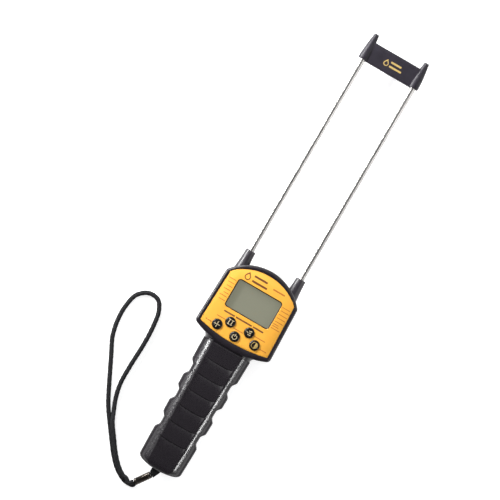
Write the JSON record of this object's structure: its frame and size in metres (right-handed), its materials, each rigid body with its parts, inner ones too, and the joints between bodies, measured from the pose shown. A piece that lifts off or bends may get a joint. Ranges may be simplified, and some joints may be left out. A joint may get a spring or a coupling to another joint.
{
  "type": "grain moisture meter",
  "caption": "Hand-held moisture meter: scalloped grip, shield-shaped display head with round keys, long parallel steel probes joined by a tip guard, and a corded wrist strap.",
  "frame": {"origin": "centre of the instrument's footprint, on the surface that its back lies on, without the wrist strap", "axes": "+Z out of the display face, +Y along the instrument towards the probe tips, +X to the right of a person reading the display"},
  "size_m": [0.1469, 0.4884, 0.0353],
  "materials": {
    "shell_plastic": "black moulded plastic, semi-gloss on the head, grained on the handle",
    "face_film": "orange-yellow printed face plate",
    "window_clear": "clear window",
    "display_grey": "grey-green reflective liquid crystal display",
    "key_gloss": "glossy black domed key",
    "inner_plastic": "black inner plastic",
    "connector_rubber": "elastomer strip",
    "circuit_board": "green circuit board",
    "switch_metal": "tact switch",
    "probe_steel": "polished stainless tube",
    "screw_steel": "plated screw",
    "contact_steel": "nickel-plated spring steel",
    "brass_nut": "plain brass",
    "battery_sleeve": "printed battery sleeve, plain blue band",
    "cover_plastic": "grained black cover",
    "wire_black": "black wire insulation",
    "wire_red": "red wire insulation",
    "label_grey": "blank grey label",
    "ferrule_nickel": "nickel-plated crimped ferrule",
    "strap_webbing": "black woven tab",
    "strap_cord": "black braided cord"
  },
  "bodies": {
    "case": {"front_housing": "shell_plastic", "rear_housing": "shell_plastic", "probe_sleeve_left": "shell_plastic", "probe_sleeve_right": "shell_plastic", "tip_guard": "shell_plastic", "face_overlay": "face_film", "window_lens": "window_clear", "display_glass": "display_grey", "display_frame": "inner_plastic", "controller_chip": "inner_plastic", "battery_tray": "inner_plastic", "display_connector": "connector_rubber", "main_board": "circuit_board", "switch_light": "switch_metal", "switch_adjust": "switch_metal", "switch_power": "switch_metal", "switch_species": "switch_metal", "switch_hold": "switch_metal", "probe_rod_left": "probe_steel", "probe_rod_right": "probe_steel", "probe_nut_left": "brass_nut", "probe_nut_right": "brass_nut", "probe_lug_left": "brass_nut", "probe_lug_right": "brass_nut", "battery_1": "battery_sleeve", "battery_2": "battery_sleeve", "battery_3": "battery_sleeve", "battery_4": "battery_sleeve", "contact_bridge": "contact_steel", "contact_plate_positive": "contact_steel", "contact_plate_negative": "contact_steel", "contact_spring_bridge": "contact_steel", "contact_spring_terminal": "contact_steel", "housing_screw_1": "screw_steel", "housing_screw_2": "screw_steel", "housing_screw_3": "screw_steel", "housing_screw_4": "screw_steel", "housing_screw_5": "screw_steel", "housing_screw_6": "screw_steel", "board_screw_1": "screw_steel", "board_screw_2": "screw_steel", "board_screw_3": "screw_steel", "board_screw_4": "screw_steel", "strap_pin": "screw_steel", "sensor_wire_left": "wire_black", "sensor_wire_right": "wire_black", "battery_wire_black": "wire_black", "battery_wire_red": "wire_red", "back_label": "label_grey"},
    "battery_cover": {"battery_cover": "cover_plastic"},
    "wrist_strap": {"strap_tab": "strap_webbing", "strap_ferrule": "ferrule_nickel", "strap_cord": "strap_cord"},
    "light_key": {"key_light": "key_gloss"},
    "adjust_key": {"key_adjust": "key_gloss"},
    "power_key": {"key_power": "key_gloss"},
    "species_key": {"key_species": "key_gloss"},
    "hold_key": {"key_hold": "key_gloss"}
  },
  "joints": [
    {"name": "press_light", "type": "slide", "parent": "case", "child": "light_key", "axis": [0, 0, -1], "range_m": [0, 0.0008], "stiffness_N_per_m": 400, "springref_m": -0.0005},
    {"name": "press_adjust", "type": "slide", "parent": "case", "child": "adjust_key", "axis": [0, 0, -1], "range_m": [0, 0.0008], "stiffness_N_per_m": 400, "springref_m": -0.0005},
    {"name": "press_power", "type": "slide", "parent": "case", "child": "power_key", "axis": [0, 0, -1], "range_m": [0, 0.0008], "stiffness_N_per_m": 400, "springref_m": -0.0005},
    {"name": "press_species", "type": "slide", "parent": "case", "child": "species_key", "axis": [0, 0, -1], "range_m": [0, 0.0008], "stiffness_N_per_m": 400, "springref_m": -0.0005},
    {"name": "press_hold", "type": "slide", "parent": "case", "child": "hold_key", "axis": [0, 0, -1], "range_m": [0, 0.0008], "stiffness_N_per_m": 400, "springref_m": -0.0005},
    {"name": "open_battery_cover", "type": "hinge", "parent": "case", "child": "battery_cover", "pos_m": [0, -0.122, 0.0003], "axis": [1, 0, 0], "range_deg": [0, 70]},
    {"name": "swing_strap", "type": "hinge", "parent": "case", "child": "wrist_strap", "pos_m": [0.0003, -0.226, 0.01], "axis": [0, 0, 1], "range_deg": [-10, 35]}
  ]
}
